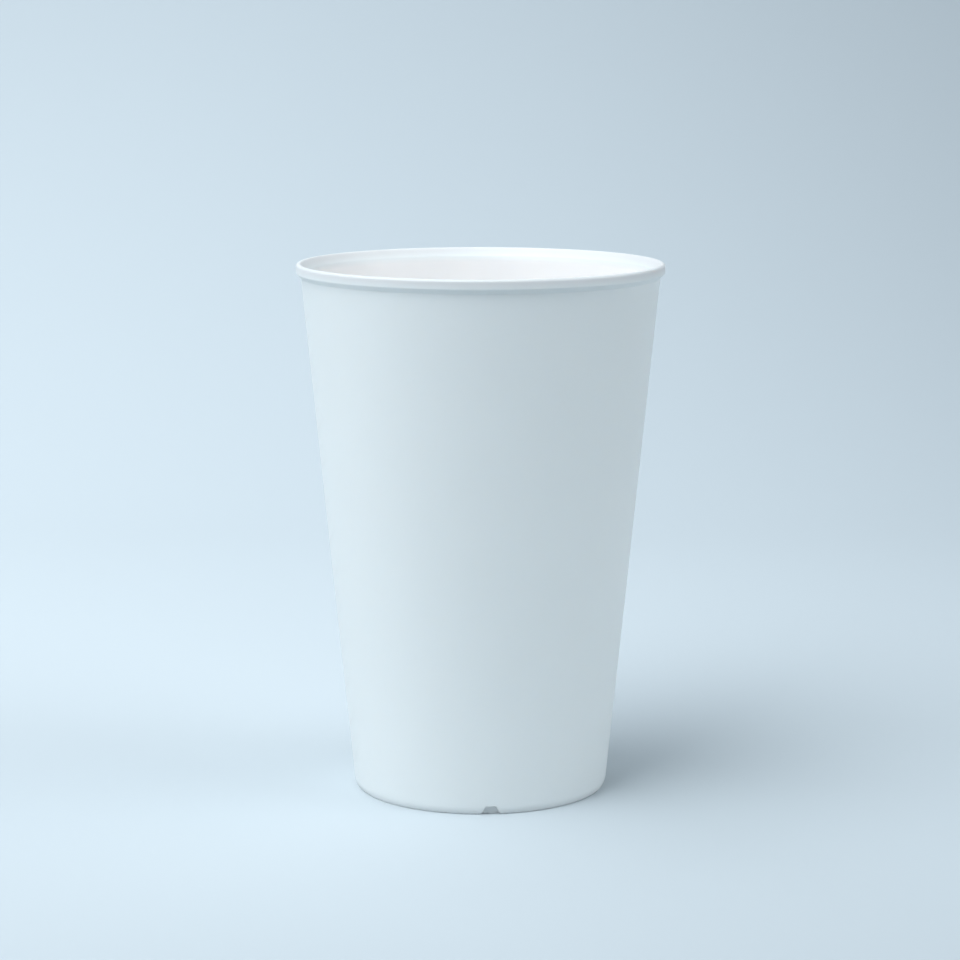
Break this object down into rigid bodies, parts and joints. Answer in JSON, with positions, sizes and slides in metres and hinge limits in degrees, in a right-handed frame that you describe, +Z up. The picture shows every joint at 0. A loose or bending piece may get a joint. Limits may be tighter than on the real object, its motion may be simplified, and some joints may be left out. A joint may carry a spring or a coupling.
{
  "type": "plastic coffee cup",
  "caption": "Tall tapered drinking cup moulded in one piece, with a rounded lip for a press-on lid and drain notches through its foot ring.",
  "frame": {"origin": "centre of the foot ring's resting plane, on the cup's axis", "axes": "+Z up the cup's axis to the mouth; -Y towards the drain notch that the picture shows"},
  "size_m": [0.09, 0.09, 0.1304],
  "materials": {
    "white_polypropylene": "injection-moulded white polypropylene with a fine satin texture, slightly translucent"
  },
  "bodies": {
    "root": {"cup": "white_polypropylene"}
  },
  "joints": []
}
